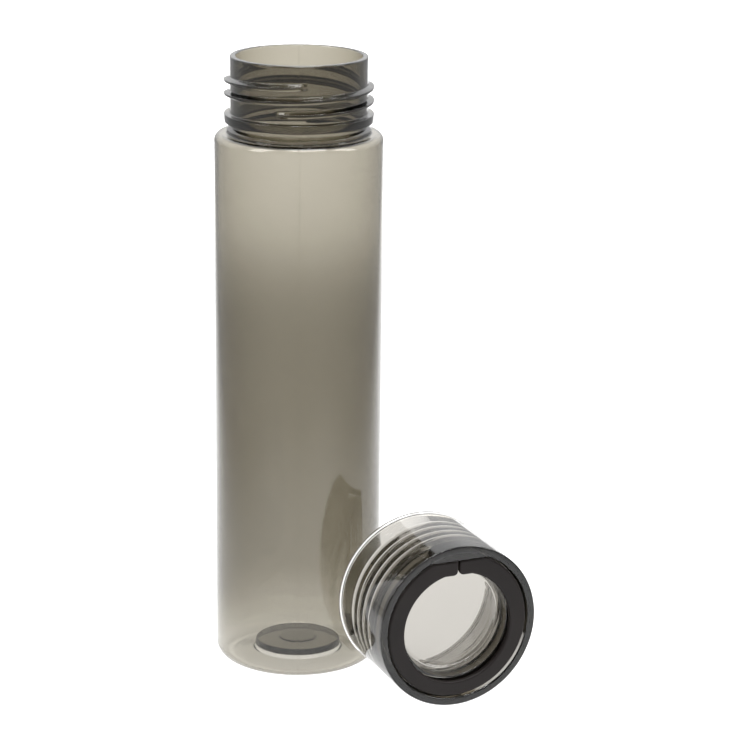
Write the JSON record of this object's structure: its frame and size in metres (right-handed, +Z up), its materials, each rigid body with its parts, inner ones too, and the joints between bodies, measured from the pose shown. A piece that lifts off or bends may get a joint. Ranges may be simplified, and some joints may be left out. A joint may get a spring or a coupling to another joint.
{
  "type": "drinking bottle with screw cap",
  "caption": "Slim tinted clear plastic drinking bottle with a threaded wide neck, and its clear screw cap with a black flip-up carry loop lying beside it.",
  "frame": {"origin": "on the ground, under the middle of the box that holds the bottle and the cap lying beside it", "axes": "+Z up along the bottle; -Y is where the cap's top and its carry loop face; +X is the side of the bottle on which the cap lies"},
  "size_m": [0.0992, 0.108, 0.2368],
  "materials": {
    "tinted_plastic": "transparent smoky grey-beige, polished",
    "soft_black_plastic": "satin black, soft and flexible",
    "seal_rubber": "matt grey"
  },
  "bodies": {
    "bottle": {"bottle_body": "tinted_plastic"},
    "cap": {"cap_shell": "tinted_plastic", "cap_seal": "seal_rubber", "loop_root": "soft_black_plastic"},
    "loop": {"carry_loop": "soft_black_plastic"}
  },
  "joints": [
    {"name": "cap_lift", "type": "slide", "parent": "bottle", "child": "cap", "axis": [0, 0, 1], "range_m": [0, 0.25]},
    {"name": "loop_flip", "type": "hinge", "parent": "cap", "child": "loop", "pos_m": [0.01725, -0.05341, 0.05739], "axis": [-1, 0, 0], "range_deg": [0, 100]}
  ]
}
